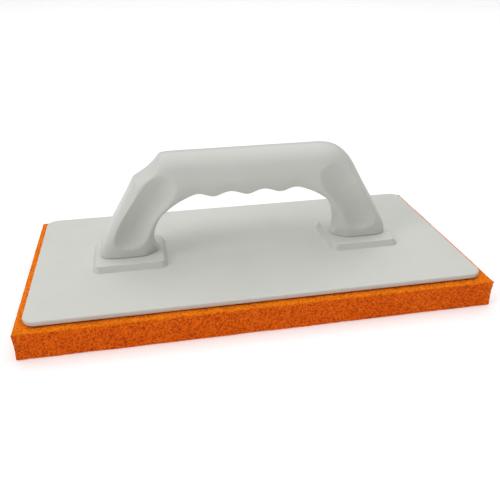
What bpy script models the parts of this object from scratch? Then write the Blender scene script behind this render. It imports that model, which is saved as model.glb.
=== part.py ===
"""Grout float: a sponge rubber pad glued to a moulded base plate, with a one-piece arched handle.

Units are metres. The origin is the centre of the pad's working face, +Z is up through the
plate and the handle, and +X runs along the length of the float.
"""
import math

import bmesh
import bpy
import numpy as np
from mathutils import Matrix, Vector

MM = 0.001

# Driving dimensions
PAD_LENGTH = 280 * MM
PAD_WIDTH = 140 * MM
PAD_THICKNESS = 17.4 * MM
PAD_EDGE_RADIUS = 0.8 * MM
PLATE_MARGIN = 5 * MM            # pad showing outside the plate, all round
PLATE_THICKNESS = 3 * MM
PLATE_CORNER_RADIUS = 7.5 * MM
PLATE_EDGE_RADIUS = 0.9 * MM
FILM_MARGIN = 3 * MM             # adhesive held back from the plate's edge
FILM_THICKNESS = 0.2 * MM
SEAT_GAP = 0.2 * MM              # between pieces that rest face to face

HANDLE_SPAN = 189 * MM           # over the outside of the two feet
HANDLE_REACH = 67.8 * MM         # plate top to the top of the bar
BAR_DIAMETER = 27.4 * MM
FOOT_LENGTH = 34 * MM            # along the float
FOOT_WIDTH = 21.5 * MM
FOOT_HEIGHT = 5 * MM             # straight part before the leg leans in
FOOT_FLARE = 2.2 * MM            # how far the inside of a foot spreads at its base
FOOT_CHAMFER = 0.3               # width left on the inside of a foot by its chamfered corners
CHAMFER_SLOPE = 1.5              # how fast the chamfers widen, both as parts of the foot's width
LEG_WIDTH = 26.6 * MM            # the widest part of a leg, above its foot
LEG_SQUARENESS = 3.8             # power of the section's outline, where 2 gives an ellipse
LEG_LEAN = 30 * MM               # how far the outside of a leg leans in below its shoulder
SHOULDER_INSET = 38.8 * MM       # outside of the foot to where the bar's top line begins
THROAT_INSET = 28.5 * MM         # inside of the foot to where the bar's underside begins
BAR_JOIN = 18 * MM               # half length of the bar's straight middle

PLINTH_HEIGHT = 4 * MM
PLINTH_OUTER_BORDER = 3.2 * MM   # plinth top beyond the outside of the foot
PLINTH_INNER_BORDER = 5.6 * MM   # plinth top beyond the inside of the foot
PLINTH_SIDE_BORDER = 8.1 * MM    # the same across the float
PLINTH_DRAFT = 1.5 * MM          # how much wider the plinth is at its base
PLINTH_CORNER_RADIUS = 3 * MM
PLINTH_WALL = 2.6 * MM
POCKET_DRAFT = 0.5 * MM
BOSS_DIAMETER = 12 * MM

FINGER_PITCH = 21.5 * MM
FINGER_DEPTH = 2.7 * MM
FINGER_GROOVES = 4
FINGER_ROUNDNESS = 1.7           # power of the wave between the ridges
RIDGE_SPREAD = (-0.1, 0.8)       # where a ridge begins and is full, from the bar's side downwards

DISH_DEPTH = 6.2 * MM
DISH_OUTER = 0.78                # outer edge of the dish, as part of the leg's half thickness
DISH_INNER_LOW = 0.95            # from its middle to its inner edge, near the foot
DISH_INNER_HIGH = 0.65           # the same near the bar
DISH_SHIFT = 0.22                # how far its middle moves outwards on the way up
DISH_START = 0.13                # its ends, as parts of the way from the foot to the straight bar
DISH_END = 0.735
DISH_BLUNTNESS = 2.8             # how suddenly the dish ends at each end

SCOOP_START = 42 * MM            # in from the outside of the left foot, on top of the bar
SCOOP_RUN = 18.3 * MM
SCOOP_DROP = 15 * MM
SCOOP_RADIUS = 36 * MM
SCOOP_CROWN = 30 * MM            # how strongly the scoop is hollowed across

SCREW_SPACING = 19 * MM          # between the two screws of one foot
SCREW_DIAMETER = 4 * MM
SCREW_HEAD_DIAMETER = 7.8 * MM
SCREW_HEAD_HEIGHT = 2.2 * MM
SCREW_HEAD_RIM = 0.3 * MM        # straight edge round the head
SCREW_LENGTH = 18 * MM
SCREW_POINT = 3 * MM
SCREW_CLEARANCE = 0.3 * MM       # around a screw in its holes
PILOT_EXTRA = 2 * MM             # pilot hole beyond the screw's point
DRIVE_WIDTH = 1.1 * MM
DRIVE_SPAN = 4.2 * MM
DRIVE_DEPTH = 1.6 * MM

# Where one shape of the handle's section turns into the next, as parts of the way from the foot to
# the straight bar
FOOT_TO_LEG = (0.05, 0.50)       # width
LEG_TO_BAR = (0.35, 0.80)
SQUARE_TO_ROUND = (0.25, 0.90)
CHAMFER_FADE = (0, 0.35)
DISH_CLIMB = (0.30, 0.70)        # where the dish's middle moves outwards

CORE_LENGTH = 9 * MM             # pocket between the screws, inside a foot
CORE_WIDTH = 10 * MM
CORE_DEPTH = 14 * MM

CUT_OVERLAP = 1 * MM             # how far a cutter reaches out past the face it opens

# How finely the round shapes are divided
LEG_STEPS = 4                    # loft stations for each span of a leg's outline
BAR_STEPS = 8                    # loft stations for each finger groove
SECTION_POINTS = 36
SCREW_SIDES = 24
SCOOP_WHEEL_SIDES = 96
SCOOP_RIM_POINTS = 17

# Heights that follow from the stack
FILM_BOTTOM = PAD_THICKNESS + SEAT_GAP
PLATE_BOTTOM = FILM_BOTTOM + FILM_THICKNESS + SEAT_GAP
PLATE_TOP = PLATE_BOTTOM + PLATE_THICKNESS
PLINTH_TOP = PLATE_TOP + PLINTH_HEIGHT
FOOT_BOTTOM = PLINTH_TOP + SEAT_GAP
BAR_TOP = PLATE_TOP + HANDLE_REACH
BAR_UNDER = BAR_TOP - BAR_DIAMETER
FOOT_OUTER = HANDLE_SPAN / 2
FOOT_INNER = FOOT_OUTER - FOOT_LENGTH
FOOT_CENTRE = FOOT_OUTER - FOOT_LENGTH / 2


def clear_scene():
    for item in list(bpy.data.objects):
        bpy.data.objects.remove(item, do_unlink=True)


def new_collection(name):
    collection = bpy.data.collections.new(name)
    bpy.context.scene.collection.children.link(collection)
    return collection


def plain_material(name, colour, roughness, metallic=0.0):
    material = bpy.data.materials.new(name)
    material.use_nodes = True
    shader = material.node_tree.nodes["Principled BSDF"]
    shader.inputs["Base Color"].default_value = (*colour, 1.0)
    shader.inputs["Roughness"].default_value = roughness
    shader.inputs["Metallic"].default_value = metallic
    return material


def add_object(name, mesh, collection, location=(0, 0, 0)):
    piece = bpy.data.objects.new(name, mesh)
    piece.location = location
    collection.objects.link(piece)
    return piece


def finish_part(piece, material, smooth_angle=35):
    piece.data.materials.clear()
    piece.data.materials.append(material)
    piece.data.shade_smooth()
    piece.data.set_sharp_from_angle(angle=math.radians(smooth_angle))
    return piece


def mesh_from(bm, name):
    bmesh.ops.recalc_face_normals(bm, faces=bm.faces)
    mesh = bpy.data.meshes.new(name)
    bm.to_mesh(mesh)
    bm.free()
    return mesh


def block(size, top_size=None):
    """A block standing on z = 0, with a smaller top if it is drafted."""
    bm = bmesh.new()
    bmesh.ops.create_cube(bm, size=1.0)
    top = top_size or size
    for vertex in bm.verts:
        length, width = (top if vertex.co.z > 0 else size)[:2]
        vertex.co = (vertex.co.x * length, vertex.co.y * width, (vertex.co.z + 0.5) * size[2])
    return bm


def is_upright(edge):
    low, high = sorted(vertex.co.z for vertex in edge.verts)
    return high - low > 0.1 * MM


def round_uprights(bm, radius, segments):
    edges = [edge for edge in bm.edges if is_upright(edge)]
    bmesh.ops.bevel(bm, geom=edges, offset=radius, segments=segments, affect="EDGES", profile=0.5)


def round_rim(bm, height, radius, segments):
    """Round the edges all round the outline at one height."""
    edges = [edge for edge in bm.edges if all(abs(v.co.z - height) < MM / 100 for v in edge.verts)]
    bmesh.ops.bevel(bm, geom=edges, offset=radius, segments=segments, affect="EDGES", profile=0.5)


def post(name, radius, bottom, top, top_radius=None, sides=SCREW_SIDES):
    """A closed cylinder, or a cone when it has another radius at its top."""
    bm = bmesh.new()
    height = top - bottom
    bmesh.ops.create_cone(
        bm, cap_ends=True, segments=sides, radius1=radius, radius2=top_radius or radius,
        depth=height, matrix=Matrix.Translation((0, 0, bottom + height / 2)),
    )
    return mesh_from(bm, name)


def hide_cutter(piece):
    piece.hide_render = True
    piece.display_type = "WIRE"
    return piece


def combine(piece, other, operation):
    modifier = piece.modifiers.new(f"{operation.lower()} {other.name}", "BOOLEAN")
    modifier.operation = operation
    modifier.object = other
    modifier.solver = "EXACT"


def apply_modifiers(piece):
    graph = bpy.context.evaluated_depsgraph_get()
    mesh = bpy.data.meshes.new_from_object(piece.evaluated_get(graph))
    piece.modifiers.clear()
    piece.data = mesh


# Sponge pad and adhesive

def make_pad(parts):
    bm = block((PAD_LENGTH, PAD_WIDTH, PAD_THICKNESS))
    bmesh.ops.bevel(bm, geom=bm.edges[:], offset=PAD_EDGE_RADIUS, segments=2, affect="EDGES", profile=0.5)
    pad = add_object("sponge_pad", mesh_from(bm, "sponge_pad"), parts)
    return finish_part(pad, plain_material("orange sponge rubber", (0.80, 0.16, 0.01), 0.95))


def plate_size():
    return PAD_LENGTH - 2 * PLATE_MARGIN, PAD_WIDTH - 2 * PLATE_MARGIN


def make_film(parts):
    length, width = (side - 2 * FILM_MARGIN for side in plate_size())
    bm = block((length, width, FILM_THICKNESS))
    round_uprights(bm, PLATE_CORNER_RADIUS - FILM_MARGIN, 5)
    film = add_object("adhesive_film", mesh_from(bm, "adhesive_film"), parts, (0, 0, FILM_BOTTOM))
    return finish_part(film, plain_material("contact adhesive", (0.55, 0.45, 0.25), 0.5))


# Base plate: a slab with a hollow plinth under each foot

def screw_places():
    """Name and plan position of each screw."""
    for side, end in ((-1, "left"), (1, "right")):
        for offset, place in ((1, "outer"), (-1, "inner")):
            yield f"screw_{end}_{place}", side * (FOOT_CENTRE + offset * SCREW_SPACING / 2)


def plinth_top_size():
    length = FOOT_LENGTH + PLINTH_OUTER_BORDER + PLINTH_INNER_BORDER
    return length, FOOT_WIDTH + 2 * PLINTH_SIDE_BORDER


def plinth_block():
    length, width = plinth_top_size()
    spread = 2 * PLINTH_DRAFT
    sunk = PLATE_THICKNESS / 2
    bm = block((length + spread, width + spread, PLINTH_HEIGHT + sunk), (length, width))
    round_uprights(bm, PLINTH_CORNER_RADIUS, 4)
    round_rim(bm, PLINTH_HEIGHT + sunk, PLATE_EDGE_RADIUS, 2)
    return mesh_from(bm, "plinth")


def plinth_pocket():
    """Hollow under a plinth, open at the underside of the plate."""
    length, width = (side - 2 * PLINTH_WALL for side in plinth_top_size())
    draft = 2 * POCKET_DRAFT
    height = PLATE_THICKNESS + PLINTH_HEIGHT - PLINTH_WALL
    bm = block((length, width, height + CUT_OVERLAP), (length - draft, width - draft))
    round_uprights(bm, PLINTH_CORNER_RADIUS / 2, 3)
    return mesh_from(bm, "pocket")


def make_plate(parts, cutters):
    length, width = plate_size()
    bm = block((length, width, PLATE_THICKNESS))
    round_uprights(bm, PLATE_CORNER_RADIUS, 8)
    round_rim(bm, PLATE_THICKNESS, PLATE_EDGE_RADIUS, 3)
    plate = add_object("base_plate", mesh_from(bm, "base_plate"), parts, (0, 0, PLATE_BOTTOM))

    plinth, pocket = plinth_block(), plinth_pocket()
    for side in (-1, 1):
        place = side * (FOOT_CENTRE + (PLINTH_OUTER_BORDER - PLINTH_INNER_BORDER) / 2)
        solid = add_object("plinth", plinth, cutters, (place, 0, PLATE_BOTTOM + PLATE_THICKNESS / 2))
        hollow = add_object("pocket", pocket, cutters, (place, 0, PLATE_BOTTOM - CUT_OVERLAP))
        combine(plate, hide_cutter(solid), "UNION")
        combine(plate, hide_cutter(hollow), "DIFFERENCE")

    roof = PLINTH_TOP - PLINTH_WALL / 2
    boss = post("boss", BOSS_DIAMETER / 2, PLATE_BOTTOM, roof)
    hole_radius = SCREW_DIAMETER / 2 + SCREW_CLEARANCE
    hole = post("screw hole", hole_radius, PLATE_BOTTOM - CUT_OVERLAP, PLINTH_TOP + CUT_OVERLAP)
    sink_low, sink_high = PLATE_BOTTOM - SCREW_CLEARANCE, PLATE_BOTTOM + SCREW_HEAD_HEIGHT
    flare = (SCREW_HEAD_DIAMETER - SCREW_DIAMETER) / 2 / (SCREW_HEAD_HEIGHT - SCREW_HEAD_RIM)
    sink_radius = hole_radius + flare * (sink_high - sink_low)
    sink = post("countersink", sink_radius, sink_low, sink_high, hole_radius)
    for _, place in screw_places():
        for mesh, operation in ((boss, "UNION"), (hole, "DIFFERENCE"), (sink, "DIFFERENCE")):
            tool = add_object(mesh.name, mesh, cutters, (place, 0, 0))
            combine(plate, hide_cutter(tool), operation)
    apply_modifiers(plate)
    return finish_part(plate, plain_material("white moulded plastic", (0.80, 0.80, 0.77), 0.45))


# Screws, put in from under the plate before the pad is glued on

def make_screws(parts, cutters):
    head, core = SCREW_HEAD_DIAMETER / 2, SCREW_DIAMETER / 2
    profile = (
        (0, SCREW_LENGTH), (core, SCREW_LENGTH - SCREW_POINT), (core, SCREW_HEAD_HEIGHT),
        (head, SCREW_HEAD_RIM), (head, 0), (0, 0),
    )
    bm = bmesh.new()
    points = [bm.verts.new((radius, 0, height)) for radius, height in profile]
    for upper, lower in zip(points, points[1:]):
        bm.edges.new((upper, lower))
    outline = bpy.data.meshes.new("screw")
    bm.to_mesh(outline)
    bm.free()
    turned = add_object("turned screw", outline, cutters)
    turn(turned, SCREW_SIDES)
    for angle in (0, math.pi / 2):
        slot = block((DRIVE_SPAN, DRIVE_WIDTH, DRIVE_DEPTH + CUT_OVERLAP),
                     (DRIVE_SPAN - DRIVE_DEPTH, DRIVE_WIDTH * 0.8))
        cutter = add_object("cross slot", mesh_from(slot, "cross slot"), cutters, (0, 0, -CUT_OVERLAP))
        cutter.rotation_euler.z = angle
        combine(turned, hide_cutter(cutter), "DIFFERENCE")
    apply_modifiers(turned)
    steel = plain_material("zinc plated steel", (0.60, 0.60, 0.58), 0.35, 1.0)
    for name, place in screw_places():
        finish_part(add_object(name, turned.data, parts, (place, 0, PLATE_BOTTOM)), steel)
    bpy.data.objects.remove(turned, do_unlink=True)


# Handle: one moulding, lofted from foot to foot

def spline(points, steps):
    """Uniform cubic B-spline that starts at the first point and ends at the last one."""
    points = np.array(points)
    first, last = 2 * points[0] - points[1], 2 * points[-1] - points[-2]
    control = np.vstack([first, points, last])
    path = []
    for span in range(len(control) - 3):
        for t in np.arange(steps) / steps:
            weights = np.array(
                [(1 - t) ** 3, 3 * t**3 - 6 * t**2 + 4, -3 * t**3 + 3 * t**2 + 3 * t + 1, t**3]
            ) / 6
            path.append(weights @ control[span:span + 4])
    path.append(points[-1])
    return np.array(path)


def leg_outlines():
    """Outer and inner outline of the right leg, from its foot up to where the bar is straight."""
    rise, gap = BAR_TOP - FOOT_BOTTOM, BAR_UNDER - FOOT_BOTTOM
    shoulder, throat = FOOT_OUTER - SHOULDER_INSET, FOOT_INNER - THROAT_INSET
    outer = [
        (FOOT_OUTER, FOOT_BOTTOM),
        (FOOT_OUTER, FOOT_BOTTOM + FOOT_HEIGHT),
        (FOOT_OUTER - 0.13 * LEG_LEAN, FOOT_BOTTOM + 0.20 * rise),
        (FOOT_OUTER - 0.40 * LEG_LEAN, FOOT_BOTTOM + 0.42 * rise),
        (FOOT_OUTER - 0.69 * LEG_LEAN, FOOT_BOTTOM + 0.64 * rise),
        (FOOT_OUTER - 0.92 * LEG_LEAN, FOOT_BOTTOM + 0.87 * rise),
        (shoulder, BAR_TOP),
        (shoulder - 0.35 * SHOULDER_INSET, BAR_TOP),
        (BAR_JOIN, BAR_TOP),
    ]
    inner = [
        (FOOT_INNER - FOOT_FLARE, FOOT_BOTTOM),
        (FOOT_INNER, FOOT_BOTTOM + FOOT_HEIGHT),
        (FOOT_INNER - 0.02 * THROAT_INSET, FOOT_BOTTOM + 0.38 * gap),
        (FOOT_INNER - 0.16 * THROAT_INSET, FOOT_BOTTOM + 0.68 * gap),
        (FOOT_INNER - 0.57 * THROAT_INSET, FOOT_BOTTOM + 0.91 * gap),
        (FOOT_INNER - 0.91 * THROAT_INSET, BAR_UNDER),
        (throat, BAR_UNDER),
        (throat - 0.19 * THROAT_INSET, BAR_UNDER),
        (BAR_JOIN, BAR_UNDER),
    ]
    return spline(outer, LEG_STEPS), spline(inner, LEG_STEPS)


def blend(value, start, end):
    """0 before start, 1 after end, and smooth between them."""
    t = np.clip((value - start) / (end - start), 0, 1)
    return t * t * (3 - 2 * t)


def finger_ridge(x):
    """How far the underside stands out between two fingers."""
    inside = np.abs(x) < (FINGER_GROOVES - 1) / 2 * FINGER_PITCH
    wave = np.abs(np.sin(np.pi * x / FINGER_PITCH)) ** FINGER_ROUNDNESS
    return np.where(inside, FINGER_DEPTH * (1 - wave), 0)


def dish(out, along):
    """Depth of the hollow on each face of a leg. out is -1 on the leg's inside and 1 on its outside."""
    climb = blend(along, *DISH_CLIMB)
    middle = DISH_SHIFT * climb
    inner = DISH_INNER_LOW + (DISH_INNER_HIGH - DISH_INNER_LOW) * climb
    edge = DISH_OUTER - middle if out > middle else inner
    half_length = (DISH_END - DISH_START) / 2
    lengthways = (along - DISH_START) / half_length - 1
    ends = np.abs(lengthways) ** DISH_BLUNTNESS
    return DISH_DEPTH * np.clip(1 - ((out - middle) / edge) ** 2 - ends, 0, 1)


def handle_section(outer, inner, along):
    """One ring of the loft. along is 0 at the foot and 1 where the bar becomes straight."""
    half_width = FOOT_WIDTH / 2 + (LEG_WIDTH - FOOT_WIDTH) / 2 * blend(along, *FOOT_TO_LEG)
    half_width += (BAR_DIAMETER - LEG_WIDTH) / 2 * blend(along, *LEG_TO_BAR)
    power = LEG_SQUARENESS + (2 - LEG_SQUARENESS) * blend(along, *SQUARE_TO_ROUND)
    middle, reach = (outer + inner) / 2, (outer - inner) / 2
    ring = []
    for angle in np.arange(SECTION_POINTS) * 2 * np.pi / SECTION_POINTS:
        sine, cosine = np.sin(angle), np.cos(angle)
        radius = (abs(sine) ** power + abs(cosine) ** power) ** (-1 / power)
        out, side = radius * sine, radius * cosine
        x, z = middle + out * reach
        chamfer = FOOT_CHAMFER + blend(along, *CHAMFER_FADE) + CHAMFER_SLOPE * (1 + out)
        limit = min(half_width * chamfer, half_width - dish(out, along))
        y = np.sign(side) * min(abs(side) * half_width, limit)
        z -= finger_ridge(x) * blend(-sine, *RIDGE_SPREAD)
        ring.append((x, y, z))
    return ring


def handle_rings():
    """Rings from the bottom of the left foot, over the bar, to the bottom of the right foot."""
    outer, inner = leg_outlines()
    count = len(outer) - 1
    right = [handle_section(outer[i], inner[i], i / count) for i in range(count + 1)]
    left = [[(-x, y, z) for x, y, z in ring] for ring in right]
    steps = int(round(2 * BAR_JOIN / FINGER_PITCH * BAR_STEPS))
    bar = []
    for x in np.linspace(-BAR_JOIN, BAR_JOIN, steps + 1)[1:-1]:
        bar.append(handle_section(np.array((x, BAR_TOP)), np.array((x, BAR_UNDER)), 1.0))
    return left + bar + right[::-1]


def handle_loft():
    bm = bmesh.new()
    rings = [[bm.verts.new(point) for point in ring] for ring in handle_rings()]
    for ring, following in zip(rings, rings[1:]):
        for i in range(SECTION_POINTS):
            j = (i + 1) % SECTION_POINTS
            bm.faces.new((ring[i], ring[j], following[j], following[i]))
    bm.faces.new(rings[0])
    bm.faces.new(rings[-1])
    return mesh_from(bm, "handle")


def scoop_wheel():
    """Cutter for the thumb scoop: a wheel across the handle, with a hollow rim."""
    half_width = BAR_DIAMETER
    profile = [(0, half_width)]
    for y in np.linspace(half_width, -half_width, SCOOP_RIM_POINTS):
        profile.append((SCOOP_RADIUS + y**2 / (2 * SCOOP_CROWN), y))
    profile.append((0, -half_width))
    bm = bmesh.new()
    points = [bm.verts.new((radius, 0, height)) for radius, height in profile]
    for upper, lower in zip(points, points[1:]):
        bm.edges.new((upper, lower))
    outline = bpy.data.meshes.new("scoop wheel")
    bm.to_mesh(outline)
    bm.free()
    return outline


def turn(piece, steps):
    screw = piece.modifiers.new("turn", "SCREW")
    screw.steps = screw.render_steps = steps
    screw.use_merge_vertices = True
    screw.merge_threshold = MM / 100


def make_handle(parts, cutters):
    handle = add_object("handle", handle_loft(), parts)

    start = Vector((-(FOOT_OUTER - SCOOP_START), BAR_TOP))
    end = start + Vector((-SCOOP_RUN, -SCOOP_DROP))
    chord = end - start
    outward = Vector((chord.y, -chord.x)).normalized()
    centre = (start + end) / 2 + outward * math.sqrt(SCOOP_RADIUS**2 - chord.length_squared / 4)
    wheel = add_object("scoop wheel", scoop_wheel(), cutters, (centre.x, 0, centre.y))
    wheel.rotation_euler.x = math.pi / 2
    turn(wheel, SCOOP_WHEEL_SIDES)
    combine(handle, hide_cutter(wheel), "DIFFERENCE")

    pilot_top = PLATE_BOTTOM + SCREW_LENGTH + PILOT_EXTRA
    foot_cut = FOOT_BOTTOM - CUT_OVERLAP
    pilot = post("pilot hole", SCREW_DIAMETER / 2 + SCREW_CLEARANCE, foot_cut, pilot_top)
    for _, place in screw_places():
        combine(handle, hide_cutter(add_object("pilot hole", pilot, cutters, (place, 0, 0))), "DIFFERENCE")
    core = mesh_from(block((CORE_LENGTH, CORE_WIDTH, CORE_DEPTH + CUT_OVERLAP)), "foot core")
    for side in (-1, 1):
        hollow = add_object("foot core", core, cutters, (side * FOOT_CENTRE, 0, foot_cut))
        combine(handle, hide_cutter(hollow), "DIFFERENCE")
    apply_modifiers(handle)
    return finish_part(handle, plain_material("white handle plastic", (0.82, 0.82, 0.80), 0.40), 50)


def main():
    clear_scene()
    parts, cutters = new_collection("Grout float"), new_collection("Cutters")
    make_pad(parts)
    make_film(parts)
    make_plate(parts, cutters)
    make_screws(parts, cutters)
    make_handle(parts, cutters)


main()
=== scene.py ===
"""Looks of the grout float: sponge, plate, handle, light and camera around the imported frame.

Units are metres. The frame's origin is the centre of the pad's working face, +Z is up and +X runs
along the float.
"""
import math

import bmesh
import bpy
import numpy as np
from mathutils import Matrix, Vector


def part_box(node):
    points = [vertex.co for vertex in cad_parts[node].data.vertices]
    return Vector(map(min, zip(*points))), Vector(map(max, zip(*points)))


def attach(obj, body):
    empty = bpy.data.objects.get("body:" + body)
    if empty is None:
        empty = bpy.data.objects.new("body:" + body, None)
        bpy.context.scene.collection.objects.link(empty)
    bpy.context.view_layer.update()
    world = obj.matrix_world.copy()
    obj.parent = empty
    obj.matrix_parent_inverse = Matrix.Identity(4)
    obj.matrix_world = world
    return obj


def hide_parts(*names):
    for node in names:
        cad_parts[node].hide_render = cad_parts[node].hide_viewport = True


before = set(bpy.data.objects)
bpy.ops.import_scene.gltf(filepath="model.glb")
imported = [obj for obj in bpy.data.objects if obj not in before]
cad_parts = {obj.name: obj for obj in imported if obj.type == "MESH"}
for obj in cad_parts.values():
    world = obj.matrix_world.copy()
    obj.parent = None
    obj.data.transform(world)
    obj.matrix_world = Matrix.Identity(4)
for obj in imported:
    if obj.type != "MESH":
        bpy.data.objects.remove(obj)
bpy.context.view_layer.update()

MM = 0.001

# Boxes of the pieces that are replaced, as the frame gives them
PAD_LOW, PAD_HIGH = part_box("sponge_pad")
PLATE_LOW, PLATE_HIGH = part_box("base_plate")
HANDLE_LOW, HANDLE_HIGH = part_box("handle")

# Sponge
SPONGE_SPACING = 0.56 * MM       # between points on its sides
FACE_SPACING = 1.6 * MM          # between points on its working face
SPONGE_EDGE_RADIUS = 0.7 * MM
SIDE_HOLLOW = 0.3 * MM
FACE_MARGIN = 2 * MM             # where the finer points of the sides end on the working face
TOP_MARGIN = 8 * MM              # the same on the top, under the plate
PORE_PRESS = 0.85                # part of a cell's depth that is pressed into the surface
CELL_SHADE_FULL_DEPTH = 0.8 * MM          # depth at which the painted shade in a cell is at its darkest
COVERED_MARGIN = 7 * MM          # the top further in than this lies under the plate
COVERED_PRESS = 0.2              # part of the unevenness that is kept there
LIT_TOP_THICKNESS = 1.4 * MM        # painted light: a brighter band at the top of the pad, where the painted cell shade is also lighter
LIT_TOP_FULL = 0.6 * MM             # depth above which it is at its brightest

# Base plate
PLATE_THICKNESS = 3.0 * MM
PLATE_CORNER_RADIUS = 7.5 * MM
PLATE_EDGE_RADIUS = 0.9 * MM
PLATE_TOP = PLATE_LOW.z + PLATE_THICKNESS
PLINTH_OUTER_BORDER = 3.2 * MM
PLINTH_INNER_BORDER = 5.6 * MM
PLINTH_SIDE_BORDER = 8.1 * MM
PLINTH_DRAFT = 1.5 * MM
PLINTH_CORNER_RADIUS = 3 * MM
PLINTH_EDGE_RADIUS = 0.9 * MM
PLINTH_FILLET = 0.5 * MM
PLINTH_WALL = 2.6 * MM
POCKET_DRAFT = 0.5 * MM
BOSS_RADIUS = 6 * MM
SCREW_HOLE_RADIUS = 2.3 * MM
COUNTERSINK_RADIUS = 4.8 * MM
COUNTERSINK_DEPTH = 2.2 * MM
COUNTERSINK_OVERLAP = 0.3 * MM
SCREWS = ("screw_left_outer", "screw_left_inner", "screw_right_inner", "screw_right_outer")

# Handle
BAR_TOP = HANDLE_HIGH.z
BAR_DIAMETER = HANDLE_HIGH.y - HANDLE_LOW.y
BAR_UNDER = BAR_TOP - BAR_DIAMETER
BAR_JOIN = 18 * MM
FOOT_BOTTOM = HANDLE_LOW.z
FOOT_OUTER = HANDLE_HIGH.x
FOOT_LENGTH = 34 * MM
FOOT_WIDTH = 21.5 * MM
FOOT_HEIGHT = 5 * MM
FOOT_FLARE = 2.2 * MM
FOOT_CHAMFER = 0.3               # width left on the inside of a foot, as part of the whole
LEG_WIDTH = 26.6 * MM
FOOT_INNER = FOOT_OUTER - FOOT_LENGTH
FOOT_CENTRE = FOOT_OUTER - FOOT_LENGTH / 2
FOOT_EDGE_RADIUS = 0.3 * MM
LEG_LEAN = 30 * MM
SHOULDER_INSET = 38.8 * MM
THROAT_INSET = 28.5 * MM
FINGER_PITCH = 21.5 * MM
FINGER_DEPTH = 2.7 * MM
FINGER_GROOVES = 4
FINGER_ROUNDNESS = 1.7
DISH_DEPTH = 6.2 * MM
SCOOP_START = 42 * MM
SCOOP_RUN = 18.3 * MM
SCOOP_DROP = 15 * MM
SCOOP_RADIUS = 36 * MM
SCOOP_CROWN = 30 * MM
SCOOP_SOFTNESS = 0.8 * MM
SCOOP_FADE = 30 * MM             # from the middle of the bar, so that only the left leg is cut

# The handle's section. Widths across it are parts of its half thickness, and ranges along it are
# parts of the way from the foot to the straight bar.
LEG_SQUARENESS = 3.8             # power of the section's outline, where 2 gives an ellipse
CHAMFER_SLOPE = 1.5
CHAMFER_SOFTNESS = 0.5 * MM
DISH_OUTER = 0.78
DISH_INNER_LOW = 0.95            # from the dish's middle to its inner edge, near the foot
DISH_INNER_HIGH = 0.653          # the same near the bar
DISH_SHIFT = 0.22                # how far its middle moves outwards on the way up
DISH_START, DISH_END = 0.13, 0.735
DISH_BLUNTNESS = 2.8             # how suddenly the dish ends at each end
DISH_OUTER_SOFTNESS = 0.25 * MM
DISH_INNER_SOFTNESS = 0.9 * MM
FOOT_TO_LEG = (0.05, 0.50)
LEG_TO_BAR = (0.35, 0.80)
SQUARE_TO_ROUND = (0.25, 0.90)
CHAMFER_FADE = (0, 0.35)
DISH_CLIMB = (0.30, 0.70)
RIDGE_SPREAD = (-0.1, 0.8)       # from the bar's side down to its underside


def add_mesh(name, points, faces):
    mesh = bpy.data.meshes.new(name)
    mesh.from_pydata([tuple(point) for point in points], [], [tuple(face) for face in faces])
    mesh.validate()
    bm = bmesh.new()
    bm.from_mesh(mesh)
    bmesh.ops.recalc_face_normals(bm, faces=bm.faces)
    bm.to_mesh(mesh)
    bm.free()
    piece = bpy.data.objects.new(name, mesh)
    bpy.context.scene.collection.objects.link(piece)
    return piece


def shade(piece, degrees):
    piece.data.shade_smooth()
    piece.data.set_sharp_from_angle(angle=math.radians(degrees))


def ring_faces(rings, around):
    """Quads between successive closed rings of points."""
    faces = []
    for ring in range(rings - 1):
        low = ring * around
        for i in range(around):
            j = (i + 1) % around
            faces.append((low + i, low + j, low + around + j, low + around + i))
    return faces


def apply_modifiers(piece):
    graph = bpy.context.evaluated_depsgraph_get()
    mesh = bpy.data.meshes.new_from_object(piece.evaluated_get(graph))
    piece.modifiers.clear()
    piece.data = mesh


def boolean(piece, other, operation):
    modifier = piece.modifiers.new(operation, "BOOLEAN")
    modifier.operation = operation
    modifier.object = other
    apply_modifiers(piece)
    bpy.data.objects.remove(other, do_unlink=True)


def smooth_step(value, start, end):
    t = np.clip((value - start) / (end - start), 0, 1)
    return t * t * (3 - 2 * t)


def smooth_positive(value, softness):
    """The value where it is positive and 0 where it is negative, with a rounded corner between."""
    return (value + np.sqrt(value**2 + softness**2)) / 2


# Handle: a loft from foot to foot

def spline(points, at):
    """Uniform cubic B-spline through the ends of points, read at values from 0 to 1."""
    points = np.array(points)
    control = np.vstack([2 * points[0] - points[1], points, 2 * points[-1] - points[-2]])
    spans = len(control) - 3
    place = np.clip(at * spans, 0, spans - 1e-9)
    span = place.astype(int)
    t = (place - span)[:, None]
    return ((1 - t) ** 3 * control[span] + (3 * t**3 - 6 * t**2 + 4) * control[span + 1]
            + (-3 * t**3 + 3 * t**2 + 3 * t + 1) * control[span + 2] + t**3 * control[span + 3]) / 6


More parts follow.
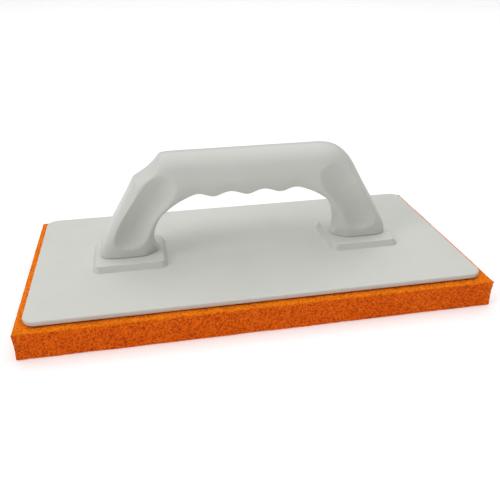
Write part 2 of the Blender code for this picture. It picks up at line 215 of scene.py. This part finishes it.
def leg_outlines(along):
    rise, gap = BAR_TOP - FOOT_BOTTOM, BAR_UNDER - FOOT_BOTTOM
    shoulder, throat = FOOT_OUTER - SHOULDER_INSET, FOOT_INNER - THROAT_INSET
    outer = [
        (FOOT_OUTER, FOOT_BOTTOM),
        (FOOT_OUTER, FOOT_BOTTOM + FOOT_HEIGHT),
        (FOOT_OUTER - 0.13 * LEG_LEAN, FOOT_BOTTOM + 0.20 * rise),
        (FOOT_OUTER - 0.40 * LEG_LEAN, FOOT_BOTTOM + 0.42 * rise),
        (FOOT_OUTER - 0.69 * LEG_LEAN, FOOT_BOTTOM + 0.64 * rise),
        (FOOT_OUTER - 0.92 * LEG_LEAN, FOOT_BOTTOM + 0.87 * rise),
        (shoulder, BAR_TOP),
        (shoulder - 0.35 * SHOULDER_INSET, BAR_TOP),
        (BAR_JOIN, BAR_TOP),
    ]
    inner = [
        (FOOT_INNER - FOOT_FLARE, FOOT_BOTTOM),
        (FOOT_INNER, FOOT_BOTTOM + FOOT_HEIGHT),
        (FOOT_INNER - 0.02 * THROAT_INSET, FOOT_BOTTOM + 0.38 * gap),
        (FOOT_INNER - 0.16 * THROAT_INSET, FOOT_BOTTOM + 0.68 * gap),
        (FOOT_INNER - 0.57 * THROAT_INSET, FOOT_BOTTOM + 0.91 * gap),
        (FOOT_INNER - 0.91 * THROAT_INSET, BAR_UNDER),
        (throat, BAR_UNDER),
        (throat - 0.19 * THROAT_INSET, BAR_UNDER),
        (BAR_JOIN, BAR_UNDER),
    ]
    return spline(outer, along), spline(inner, along)


def finger_ridge(x):
    inside = np.abs(x) < (FINGER_GROOVES - 1) / 2 * FINGER_PITCH
    wave = np.abs(np.sin(np.pi * x / FINGER_PITCH)) ** FINGER_ROUNDNESS
    return np.where(inside, FINGER_DEPTH * (1 - wave), 0)


def dish(out, along):
    """Depth of the hollow on a leg's faces, 1 at its deepest and negative outside it."""
    climb = smooth_step(along, *DISH_CLIMB)
    centre = DISH_SHIFT * climb
    inner_edge = DISH_INNER_LOW + (DISH_INNER_HIGH - DISH_INNER_LOW) * climb
    across = (out - centre) / np.where(out > centre, DISH_OUTER - centre, inner_edge)
    lengthways = (along - (DISH_START + DISH_END) / 2) / ((DISH_END - DISH_START) / 2)
    return np.clip(1 - across**2 - np.abs(lengthways) ** DISH_BLUNTNESS, -0.3, 1)


def held_within(y, limit, softness):
    """The values of y kept between -limit and limit, with a rounded corner."""
    return np.sign(y) * (np.abs(y) - smooth_positive(np.abs(y) - limit, softness))


def handle_rings(outer, inner, along, around):
    """Rings of points for the given outlines; along is 0 at the foot and 1 on the straight bar."""
    angle = np.arange(around) * 2 * np.pi / around
    sine, cosine = np.sin(angle)[None, :], np.cos(angle)[None, :]
    along = along[:, None]
    half_width = FOOT_WIDTH / 2 + (LEG_WIDTH - FOOT_WIDTH) / 2 * smooth_step(along, *FOOT_TO_LEG)
    half_width += (BAR_DIAMETER - LEG_WIDTH) / 2 * smooth_step(along, *LEG_TO_BAR)
    power = LEG_SQUARENESS + (2 - LEG_SQUARENESS) * smooth_step(along, *SQUARE_TO_ROUND)
    radius = (np.abs(sine) ** power + np.abs(cosine) ** power) ** (-1 / power)
    out, side = radius * sine, radius * cosine

    middle, reach = (outer + inner) / 2, (outer - inner) / 2
    height = outer[:, 1:2] - FOOT_BOTTOM
    below = np.clip(FOOT_EDGE_RADIUS - height, 0, FOOT_EDGE_RADIUS)
    inset = FOOT_EDGE_RADIUS - np.sqrt(FOOT_EDGE_RADIUS**2 - below**2)
    shrink = 1 - inset / np.linalg.norm(reach, axis=1)[:, None]
    x = middle[:, :1] + out * shrink * reach[:, :1]
    z = middle[:, 1:] + out * shrink * reach[:, 1:]
    y = side * (half_width - inset)
    chamfer = FOOT_CHAMFER + smooth_step(along, *CHAMFER_FADE) + CHAMFER_SLOPE * (1 + out)
    y = held_within(y, half_width * chamfer, CHAMFER_SOFTNESS)
    softness = np.where(out > 0, DISH_OUTER_SOFTNESS, DISH_INNER_SOFTNESS)
    y = held_within(y, half_width - DISH_DEPTH * dish(out, along), softness)
    return x, y, z - finger_ridge(x) * smooth_step(-sine, *RIDGE_SPREAD)


def cut_scoop(points):
    """Press the thumb scoop into the left shoulder: a wheel across the handle with a hollow rim."""
    start = np.array((-(FOOT_OUTER - SCOOP_START), BAR_TOP))
    end = start + np.array((-SCOOP_RUN, -SCOOP_DROP))
    chord = end - start
    length = np.linalg.norm(chord)
    outward = np.array((chord[1], -chord[0])) / length
    centre = (start + end) / 2 + outward * math.sqrt(SCOOP_RADIUS**2 - length**2 / 4)
    offset = points[:, (0, 2)] - centre
    distance = np.linalg.norm(offset, axis=1)
    rim = SCOOP_RADIUS + points[:, 1] ** 2 / (2 * SCOOP_CROWN)
    push = smooth_positive(rim - distance, SCOOP_SOFTNESS)
    push *= smooth_step(-points[:, 0], 0, SCOOP_FADE)
    points[:, (0, 2)] += offset / distance[:, None] * push[:, None]


def make_handle():
    around, edge_rings, leg_rings, bar_rings = 160, 6, 170, 56
    edge_end = 0.016  # just above the foot's rounded bottom edge
    edge = np.linspace(0, edge_end, edge_rings)
    along = np.concatenate([edge, np.linspace(edge_end, 1, leg_rings)[1:]])
    outer, inner = leg_outlines(along)
    x, y, z = handle_rings(outer, inner, along, around)
    bar_x = np.linspace(-BAR_JOIN, BAR_JOIN, bar_rings + 1)[1:-1]
    level = np.ones_like(bar_x)
    bar = handle_rings(np.stack([bar_x, level * BAR_TOP], 1), np.stack([bar_x, level * BAR_UNDER], 1),
                       level, around)
    rows = [np.concatenate([-x, bar[0], x[::-1]]), np.concatenate([y, bar[1], y[::-1]]),
            np.concatenate([z, bar[2], z[::-1]])]
    points = np.stack(rows, -1).reshape(-1, 3)
    cut_scoop(points)
    rings = len(points) // around
    faces = ring_faces(rings, around)
    faces.append(range(around))
    faces.append(range((rings - 1) * around, rings * around))
    handle = add_mesh("handle_moulding", points, faces)
    shade(handle, 50)
    return handle


# Base plate: stacked outlines with rounded corners

def rounded_outline(length, width, radius, steps=10):
    corners = ((1, 1, 0), (-1, 1, 90), (-1, -1, 180), (1, -1, 270))
    points = []
    for side_x, side_y, start in corners:
        for step in range(steps + 1):
            angle = math.radians(start + 90 * step / steps)
            points.append((side_x * (length / 2 - radius) + radius * math.cos(angle),
                           side_y * (width / 2 - radius) + radius * math.sin(angle)))
    return points


def stack(name, length, width, radius, profile, centre=0.0):
    """A solid from (inset, height) steps up the side of a rectangle with rounded corners."""
    points = []
    for inset, height in profile:
        corner = max(radius - inset, 0.2 * MM)
        outline = rounded_outline(length - 2 * inset, width - 2 * inset, corner)
        points += [(x + centre, y, height) for x, y in outline]
    around = len(outline)
    faces = ring_faces(len(profile), around)
    faces.append(range(around))
    faces.append(range(len(points) - around, len(points)))
    return add_mesh(name, points, faces)


def round_over(radius, inset, height, steps=5):
    """Profile of a convex edge that ends flat, radius below its top at the start."""
    angles = [math.radians(90 * step / steps) for step in range(steps + 1)]
    return [(inset + radius * (1 - math.cos(a)), height - radius * (1 - math.sin(a))) for a in angles]


def fillet(radius, inset, height, steps=5):
    """Profile of a concave foot that starts flat on the surface below it."""
    angles = [math.radians(90 * step / steps) for step in range(steps + 1)]
    return [(inset - radius * (1 - math.sin(a)), height + radius * (1 - math.cos(a))) for a in angles]


def drum(name, radius, bottom, top, place, top_radius=None):
    bm = bmesh.new()
    bmesh.ops.create_cone(
        bm, cap_ends=True, segments=32, radius1=radius, radius2=top_radius or radius,
        depth=top - bottom, matrix=Matrix.Translation((place, 0, (bottom + top) / 2)),
    )
    mesh = bpy.data.meshes.new(name)
    bm.to_mesh(mesh)
    bm.free()
    piece = bpy.data.objects.new(name, mesh)
    bpy.context.scene.collection.objects.link(piece)
    return piece


def make_plate():
    length, width = PLATE_HIGH.x - PLATE_LOW.x, PLATE_HIGH.y - PLATE_LOW.y
    edge, corner = 0.3 * MM, 0.09 * MM
    low_edge = [(edge, PLATE_LOW.z), (corner, PLATE_LOW.z + corner), (0, PLATE_LOW.z + edge)]
    profile = low_edge + round_over(PLATE_EDGE_RADIUS, 0, PLATE_TOP)
    plate = stack("float_plate", length, width, PLATE_CORNER_RADIUS, profile)

    top_length = FOOT_LENGTH + PLINTH_OUTER_BORDER + PLINTH_INNER_BORDER
    top_width = FOOT_WIDTH + 2 * PLINTH_SIDE_BORDER
    plinth_top = PLATE_HIGH.z
    for side in (-1, 1):
        centre = side * (FOOT_CENTRE + (PLINTH_OUTER_BORDER - PLINTH_INNER_BORDER) / 2)
        foot = fillet(PLINTH_FILLET, 0, PLATE_TOP)
        skirt = [(foot[0][0], PLATE_TOP - MM)]
        rim = round_over(PLINTH_EDGE_RADIUS, PLINTH_DRAFT, plinth_top)
        plinth = stack("plinth", top_length + 2 * PLINTH_DRAFT, top_width + 2 * PLINTH_DRAFT,
                       PLINTH_CORNER_RADIUS + PLINTH_DRAFT, skirt + foot + rim, centre)
        boolean(plate, plinth, "UNION")
        roof = plinth_top - PLINTH_WALL
        pocket = stack("pocket", top_length - 2 * PLINTH_WALL, top_width - 2 * PLINTH_WALL,
                       PLINTH_CORNER_RADIUS, [(0, PLATE_LOW.z - MM), (POCKET_DRAFT, roof)], centre)
        boolean(plate, pocket, "DIFFERENCE")
    boss_top = plinth_top - PLINTH_WALL / 2
    sink_low, sink_high = PLATE_LOW.z - COUNTERSINK_OVERLAP, PLATE_LOW.z + COUNTERSINK_DEPTH
    for node in SCREWS:
        low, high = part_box(node)
        place = (low.x + high.x) / 2
        boss = drum("boss", BOSS_RADIUS, PLATE_LOW.z, boss_top, place)
        boolean(plate, boss, "UNION")
        hole = drum("hole", SCREW_HOLE_RADIUS, PLATE_LOW.z - MM, plinth_top + MM, place)
        boolean(plate, hole, "DIFFERENCE")
        sink = drum("sink", COUNTERSINK_RADIUS, sink_low, sink_high, place, SCREW_HOLE_RADIUS)
        boolean(plate, sink, "DIFFERENCE")
    shade(plate, 32)
    plate.modifiers.new("flat faces keep flat shading", "WEIGHTED_NORMAL").keep_sharp = True
    apply_modifiers(plate)
    return plate


# Sponge: rings of points round the rim, a grid on the working face, and pores pressed into both

class Pores:
    """Round cells scattered through the block, one in each cube of a jittered grid."""

    def __init__(self, pitch, small, large, seed):
        self.pitch = pitch
        self.low = np.array(PAD_LOW) - 2 * pitch
        self.shape = np.ceil((np.array(PAD_HIGH) + 2 * pitch - self.low) / pitch).astype(int) + 1
        draw = np.random.default_rng(seed)
        self.offset = draw.random((*self.shape, 3))
        self.radius = small + (large - small) * draw.random(tuple(self.shape)) ** 2

    def depth(self, points):
        """How deep each point lies inside the deepest cell that holds it."""
        home = np.floor((points - self.low) / self.pitch).astype(int)
        deepest = np.zeros(len(points))
        for shift in np.ndindex(3, 3, 3):
            cell = np.clip(home + np.array(shift) - 1, 0, self.shape - 1)
            index = tuple(cell.T)
            centre = self.low + (cell + self.offset[index]) * self.pitch
            radius = self.radius[index]
            distance = np.linalg.norm(points - centre, axis=1)
            inside = np.sqrt(np.clip(radius**2 - distance**2, 0, None))
            deepest = np.maximum(deepest, inside)
        return deepest


def sponge_ring(inset):
    """Points evenly round the pad at one inset, starting at the front left corner."""
    half_length, half_width = PAD_HIGH.x - inset, PAD_HIGH.y - inset
    lengthways = np.linspace(-1, 1, int(round(2 * PAD_HIGH.x / SPONGE_SPACING)), endpoint=False)
    crossways = np.linspace(-1, 1, int(round(2 * PAD_HIGH.y / SPONGE_SPACING)), endpoint=False)
    front = np.column_stack([lengthways * half_length, np.full(len(lengthways), -half_width)])
    right = np.column_stack([np.full(len(crossways), half_length), crossways * half_width])
    return np.concatenate([front, right, -front, -right])


def wave(points, scale, seed):
    """Smooth unevenness from -1 to 1, from a few crossing sine waves."""
    draw = np.random.default_rng(seed)
    total = np.zeros(len(points))
    waves = 7
    for _ in range(waves):
        direction = draw.normal(size=3)
        direction /= np.linalg.norm(direction)
        turns = points @ direction / (scale * draw.uniform(0.7, 1.5)) + draw.uniform()
        total += np.sin(turns * 2 * np.pi)
    return total / waves


def sponge_levels():
    """Inset and height of each ring, from the working face round the rim to under the plate."""
    spacing, radius = SPONGE_SPACING, SPONGE_EDGE_RADIUS
    height = PAD_HIGH.z - PAD_LOW.z
    quarter = [math.radians(angle) for angle in (0, 45, 90)]
    levels = [(inset, 0) for inset in np.arange(FACE_MARGIN, radius, -spacing)]
    levels += [(radius * (1 - math.sin(a)), radius * (1 - math.cos(a))) for a in quarter]
    upright = height - 2 * radius
    steps = int(upright / spacing)
    for step in range(1, steps):
        hollow = SIDE_HOLLOW * math.sin(math.pi * step / steps)
        levels.append((hollow, radius + upright * step / steps))
    levels += [(radius * (1 - math.cos(a)), height - radius * (1 - math.sin(a))) for a in quarter]
    levels += [(inset, height) for inset in np.arange(radius + spacing, TOP_MARGIN, spacing)]
    return levels


def make_sponge():
    rings = []
    levels = sponge_levels()
    for inset, rise in levels:
        ring = sponge_ring(inset)
        rings.append(np.column_stack([ring, np.full(len(ring), PAD_LOW.z + rise)]))
    around = len(rings[0])
    faces = ring_faces(len(rings), around)
    faces.append(range((len(rings) - 1) * around, len(rings) * around))
    mesh = bpy.data.meshes.new("sponge")
    mesh.from_pydata(np.concatenate(rings).tolist(), [], [tuple(face) for face in faces])
    close_working_face(mesh, around, levels[0][0] + FACE_SPACING)
    press_pores(mesh)
    mesh.update()
    mesh.shade_smooth()
    sponge = bpy.data.objects.new("sponge_rubber", mesh)
    bpy.context.scene.collection.objects.link(sponge)
    return sponge


def close_working_face(mesh, around, inset):
    """Fill the ring of the first points with a grid that starts at the inset."""
    bm = bmesh.new()
    bm.from_mesh(mesh)
    bm.verts.ensure_lookup_table()
    rim = [bm.verts[i] for i in range(around)]
    rim_edges = [bm.edges.get((rim[i], rim[(i + 1) % around])) for i in range(around)]
    inner_x, inner_y = PAD_HIGH.x - inset, PAD_HIGH.y - inset
    columns, rows = int(2 * inner_x / FACE_SPACING), int(2 * inner_y / FACE_SPACING)
    grid = [[bm.verts.new((x, y, PAD_LOW.z)) for x in np.linspace(-inner_x, inner_x, columns)]
            for y in np.linspace(-inner_y, inner_y, rows)]
    for lower, upper in zip(grid, grid[1:]):
        for i in range(columns - 1):
            bm.faces.new((lower[i], upper[i], upper[i + 1], lower[i + 1]))
    face_edges = [edge for row in grid for vert in row for edge in vert.link_edges if edge.is_boundary]
    bmesh.ops.bridge_loops(bm, edges=rim_edges + list(dict.fromkeys(face_edges)))
    bmesh.ops.recalc_face_normals(bm, faces=bm.faces)
    bm.to_mesh(mesh)
    bm.free()


def press_pores(mesh):
    """Sink the open cells and a slow unevenness into the surface, and keep the cells' depth for
    painted shade.
    """
    count = len(mesh.vertices)
    points, normals = np.zeros(count * 3), np.zeros(count * 3)
    mesh.vertices.foreach_get("co", points)
    mesh.vertex_normals.foreach_get("vector", normals)
    points, normals = points.reshape(-1, 3), normals.reshape(-1, 3)
    coarse = Pores(pitch=2.6 * MM, small=0.3 * MM, large=0.95 * MM, seed=3)
    fine = Pores(pitch=1.3 * MM, small=0.2 * MM, large=0.62 * MM, seed=4)
    cells = np.maximum(coarse.depth(points), fine.depth(points))
    uneven = 0.25 * MM * (1 + wave(points, scale=31 * MM, seed=5))
    uneven += 0.10 * MM * (1 + wave(points, scale=3 * MM, seed=6))
    covered = points[:, 2] > PAD_HIGH.z - MM
    covered &= np.abs(points[:, 0]) < PAD_HIGH.x - COVERED_MARGIN
    covered &= np.abs(points[:, 1]) < PAD_HIGH.y - COVERED_MARGIN
    press = (PORE_PRESS * cells + uneven) * np.where(covered, COVERED_PRESS, 1)
    points -= normals * press[:, None]
    mesh.vertices.foreach_set("co", points.ravel())
    # The cells' depth is kept for painted shade: the sponge material darkens the deeper cells.
    cell_shade_depth = mesh.attributes.new("cell_shade_depth", "FLOAT", "POINT")
    cell_shade_depth.data.foreach_set("value", np.clip(cells / CELL_SHADE_FULL_DEPTH, 0, 1))


# Materials

class Nodes:
    """A short way to build a node tree."""

    def __init__(self, name):
        self.material = bpy.data.materials.new(name)
        self.material.use_nodes = True
        self.tree = self.material.node_tree
        self.shader = self.tree.nodes["Principled BSDF"]
        coordinates = self.tree.nodes.new("ShaderNodeTexCoord")
        self.place = coordinates.outputs["Object"]

    def node(self, kind, **settings):
        made = self.tree.nodes.new(kind)
        for key, value in settings.items():
            setattr(made, key, value)
        return made

    def link(self, source, target):
        self.tree.links.new(source, target)

    def noise(self, scale, detail=3.0, roughness=0.5):
        made = self.node("ShaderNodeTexNoise")
        self.link(self.place, made.inputs["Vector"])
        made.inputs["Scale"].default_value = scale
        made.inputs["Detail"].default_value = detail
        made.inputs["Roughness"].default_value = roughness
        return made.outputs["Fac"]

    def cells(self, scale, place):
        made = self.node("ShaderNodeTexVoronoi")
        self.link(place, made.inputs["Vector"])
        made.inputs["Scale"].default_value = scale
        return made.outputs["Distance"]

    def math(self, operation, first, second):
        made = self.node("ShaderNodeMath", operation=operation)
        for socket, value in zip(made.inputs, (first, second)):
            if isinstance(value, (int, float)):
                socket.default_value = value
            else:
                self.link(value, socket)
        return made.outputs[0]

    def between(self, source, low, high, start=0.0, end=1.0):
        """The source stretched so that low gives start and high gives end."""
        made = self.node("ShaderNodeMapRange", clamp=True, interpolation_type="SMOOTHSTEP")
        self.link(source, made.inputs["Value"])
        ends = {"From Min": low, "From Max": high, "To Min": start, "To Max": end}
        for name, value in ends.items():
            made.inputs[name].default_value = value
        return made.outputs["Result"]

    def mix(self, factor, first, second):
        made = self.node("ShaderNodeMix", data_type="RGBA")
        self.link(factor, made.inputs["Factor"])
        for socket, value in ((made.inputs[6], first), (made.inputs[7], second)):
            if isinstance(value, tuple):
                socket.default_value = (*value, 1)
            else:
                self.link(value, socket)
        return made.outputs[2]

    def bump(self, height, distance, strength=1.0, under=None):
        made = self.node("ShaderNodeBump")
        made.inputs["Distance"].default_value = distance
        made.inputs["Strength"].default_value = strength
        self.link(height, made.inputs["Height"])
        if under:
            self.link(under, made.inputs["Normal"])
        return made.outputs["Normal"]

    def finish(self, colour, roughness, normal):
        self.link(colour, self.shader.inputs["Base Color"])
        self.link(roughness, self.shader.inputs["Roughness"])
        self.link(normal, self.shader.inputs["Normal"])
        return self.material


def moulded_plastic(name, pale, dull, roughness, grain):
    """Satin moulded plastic: faint clouding, a fine grain and slow sink waves."""
    nodes = Nodes(name)
    clouds = nodes.between(nodes.noise(28, 4), 0.35, 0.65)
    specks = nodes.between(nodes.noise(2600, 2), 0.66, 0.74)
    colour = nodes.mix(clouds, dull, pale)
    colour = nodes.mix(nodes.math("MULTIPLY", specks, 0.10), colour, (0.55, 0.54, 0.50))
    rough = nodes.between(nodes.noise(110, 5, 0.6), 0.3, 0.7, roughness - 0.05, roughness + 0.08)
    waves = nodes.bump(nodes.noise(45, 1), 0.10 * MM)
    fine = nodes.bump(nodes.noise(1500, 3, 0.6), 0.02 * MM, grain, waves)
    return nodes.finish(colour, rough, fine)


def sponge_rubber():
    """Open cells: holes of several sizes with painted shade, between bright orange walls, with painted
    light on the top band.
    """
    nodes = Nodes("sponge rubber")
    warp = nodes.node("ShaderNodeTexNoise")
    nodes.link(nodes.place, warp.inputs["Vector"])
    warp.inputs["Scale"].default_value = 500
    shifted = nodes.node("ShaderNodeVectorMath", operation="MULTIPLY_ADD")
    nodes.link(warp.outputs["Color"], shifted.inputs[0])
    shifted.inputs[1].default_value = (0.8 * MM,) * 3
    nodes.link(nodes.place, shifted.inputs[2])
    place = shifted.outputs[0]
    # Painted shade: the open cells are marked by these Voronoi holes and by the pressed cells' depth,
    # and darkened below.
    small = nodes.between(nodes.cells(950, place), 0.50, 0.18)
    large = nodes.between(nodes.cells(520, place), 0.42, 0.16)
    holes = nodes.math("MAXIMUM", small, large)
    pressed = nodes.node("ShaderNodeAttribute", attribute_name="cell_shade_depth")
    pressed_cell_shade = nodes.math("MULTIPLY", pressed.outputs["Fac"], 0.45)
    painted_cell_shade = nodes.math("MAXIMUM", nodes.math("MULTIPLY", holes, 0.62), pressed_cell_shade)
    split = nodes.node("ShaderNodeSeparateXYZ")
    nodes.link(nodes.place, split.inputs[0])
    # Painted light on the top band: brighter walls and lighter painted cell shade there.
    lit_top = nodes.between(split.outputs["Z"], PAD_HIGH.z - LIT_TOP_THICKNESS, PAD_HIGH.z - LIT_TOP_FULL)
    cell_shade_kept = nodes.math("SUBTRACT", 1, nodes.math("MULTIPLY", lit_top, 0.35))
    painted_cell_shade = nodes.math("MULTIPLY", painted_cell_shade, cell_shade_kept)
    blotch = nodes.between(nodes.noise(60, 4), 0.3, 0.7)
    walls = nodes.mix(blotch, (0.90, 0.135, 0.002), (0.95, 0.160, 0.004))
    # Painted light: the top band's walls are mixed toward this brighter orange.
    walls = nodes.mix(lit_top, walls, (1.00, 0.230, 0.004))
    # Painted shade: the cells are mixed from the walls toward this dark red.
    colour = nodes.mix(painted_cell_shade, walls, (0.34, 0.020, 0.001))
    nodes.shader.inputs["Specular IOR Level"].default_value = 0.12
    raised = nodes.math("SUBTRACT", nodes.noise(1900, 2), holes)
    normal = nodes.bump(raised, 0.45 * MM, 0.8)
    roughness = nodes.between(nodes.noise(300), 0.3, 0.7, 0.80, 0.95)
    return nodes.finish(colour, roughness, normal)


def dried_adhesive():
    nodes = Nodes("dried adhesive")
    clouds = nodes.between(nodes.noise(120, 4), 0.35, 0.65)
    colour = nodes.mix(clouds, (0.42, 0.30, 0.12), (0.62, 0.50, 0.26))
    roughness = nodes.between(nodes.noise(200), 0.3, 0.7, 0.35, 0.6)
    return nodes.finish(colour, roughness, nodes.bump(nodes.noise(400, 4), 0.1 * MM))


def plated_steel():
    nodes = Nodes("zinc plated steel")
    nodes.shader.inputs["Metallic"].default_value = 1.0
    clouds = nodes.between(nodes.noise(700, 4), 0.35, 0.65)
    colour = nodes.mix(clouds, (0.52, 0.52, 0.50), (0.68, 0.68, 0.66))
    roughness = nodes.between(nodes.noise(1500, 3), 0.3, 0.7, 0.28, 0.45)
    return nodes.finish(colour, roughness, nodes.bump(nodes.noise(3000, 2), 0.01 * MM))


def pale_floor():
    nodes = Nodes("pale floor")
    clouds = nodes.between(nodes.noise(3, 3), 0.3, 0.7)
    colour = nodes.mix(clouds, (0.89, 0.89, 0.89), (0.91, 0.91, 0.91))
    roughness = nodes.between(nodes.noise(8), 0.3, 0.7, 0.75, 0.85)
    nodes.shader.inputs["Emission Color"].default_value = (1, 1, 1, 1)
    nodes.shader.inputs["Emission Strength"].default_value = 0.24
    return nodes.finish(colour, roughness, nodes.bump(nodes.noise(40), 0.02 * MM))


def dress(piece, material):
    piece.data.materials.clear()
    piece.data.materials.append(material)


# Studio

def make_floor():
    half = 6.0
    points = [(-half, -half, 0), (half, -half, 0), (half, half, 0), (-half, half, 0)]
    floor = add_mesh("studio_floor", points, [(0, 1, 2, 3)])
    dress(floor, pale_floor())


def softbox(name, place, size, power):
    """A round area light aimed at the middle of the float."""
    light = bpy.data.lights.new(name, "AREA")
    light.shape = "DISK"
    light.size = size
    light.energy = power
    lamp = bpy.data.objects.new(name, light)
    bpy.context.scene.collection.objects.link(lamp)
    lamp.location = place
    aim = Vector((0, 0, 0.03)) - Vector(place)
    lamp.rotation_euler = aim.to_track_quat("-Z", "Y").to_euler()


def make_world():
    """A dim sky that is brighter near the horizon."""
    world = bpy.data.worlds.new("studio")
    bpy.context.scene.world = world
    world.use_nodes = True
    tree = world.node_tree
    background = tree.nodes["Background"]
    direction = tree.nodes.new("ShaderNodeTexCoord")
    height = tree.nodes.new("ShaderNodeSeparateXYZ")
    fade = tree.nodes.new("ShaderNodeMapRange")
    ends = {"From Min": 0.05, "From Max": 0.30, "To Min": 0.30, "To Max": 0.18}
    for name, value in ends.items():
        fade.inputs[name].default_value = value
    tree.links.new(direction.outputs["Generated"], height.inputs[0])
    tree.links.new(height.outputs["Z"], fade.inputs["Value"])
    tree.links.new(fade.outputs["Result"], background.inputs["Strength"])
    background.inputs["Color"].default_value = (1, 1, 1, 1)


def make_lights():
    make_world()
    softbox("overhead softbox", place=(0.1, 0.5, 3.0), size=6.5, power=132)
    softbox("side softbox", place=(-2.5, -1.0, 1.6), size=1.4, power=22)
    bpy.context.scene.view_settings.view_transform = "Standard"


def make_camera():
    """Seen from in front and a little left of centre, looking down at the float."""
    place = Vector((-0.0610, -0.3329, 0.1984))
    yaw, pitch, roll = math.radians(10.77), math.radians(28.20), math.radians(-0.27)
    flat = math.cos(pitch)
    forward = Vector((math.sin(yaw) * flat, math.cos(yaw) * flat, -math.sin(pitch)))
    level = Vector((math.cos(yaw), -math.sin(yaw), 0))
    up = level.cross(forward)
    right = level * math.cos(roll) + up * math.sin(roll)
    up = up * math.cos(roll) - level * math.sin(roll)
    data = bpy.data.cameras.new("camera")
    data.sensor_width, data.lens = 36, 41.09
    data.clip_start = 0.01
    camera = bpy.data.objects.new("camera", data)
    bpy.context.scene.collection.objects.link(camera)
    turned = Matrix((right, up, -forward)).transposed().to_4x4()
    camera.matrix_world = Matrix.Translation(place) @ turned
    bpy.context.scene.camera = camera


def main():
    make_camera()
    make_lights()
    make_floor()

    sponge = make_sponge()
    dress(sponge, sponge_rubber())
    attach(sponge, "root")
    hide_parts("sponge_pad")

    plate = make_plate()
    dress(plate, moulded_plastic("plate plastic", pale=(0.67, 0.675, 0.630),
                                 dull=(0.65, 0.655, 0.610), roughness=0.42, grain=0.25))
    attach(plate, "root")
    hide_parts("base_plate")

    handle = make_handle()
    dress(handle, moulded_plastic("handle plastic", pale=(0.665, 0.67, 0.63),
                                  dull=(0.645, 0.65, 0.61), roughness=0.40, grain=0.2))
    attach(handle, "root")
    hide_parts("handle")

    dress(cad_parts["adhesive_film"], dried_adhesive())
    steel = plated_steel()
    for node in SCREWS:
        dress(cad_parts[node], steel)


main()
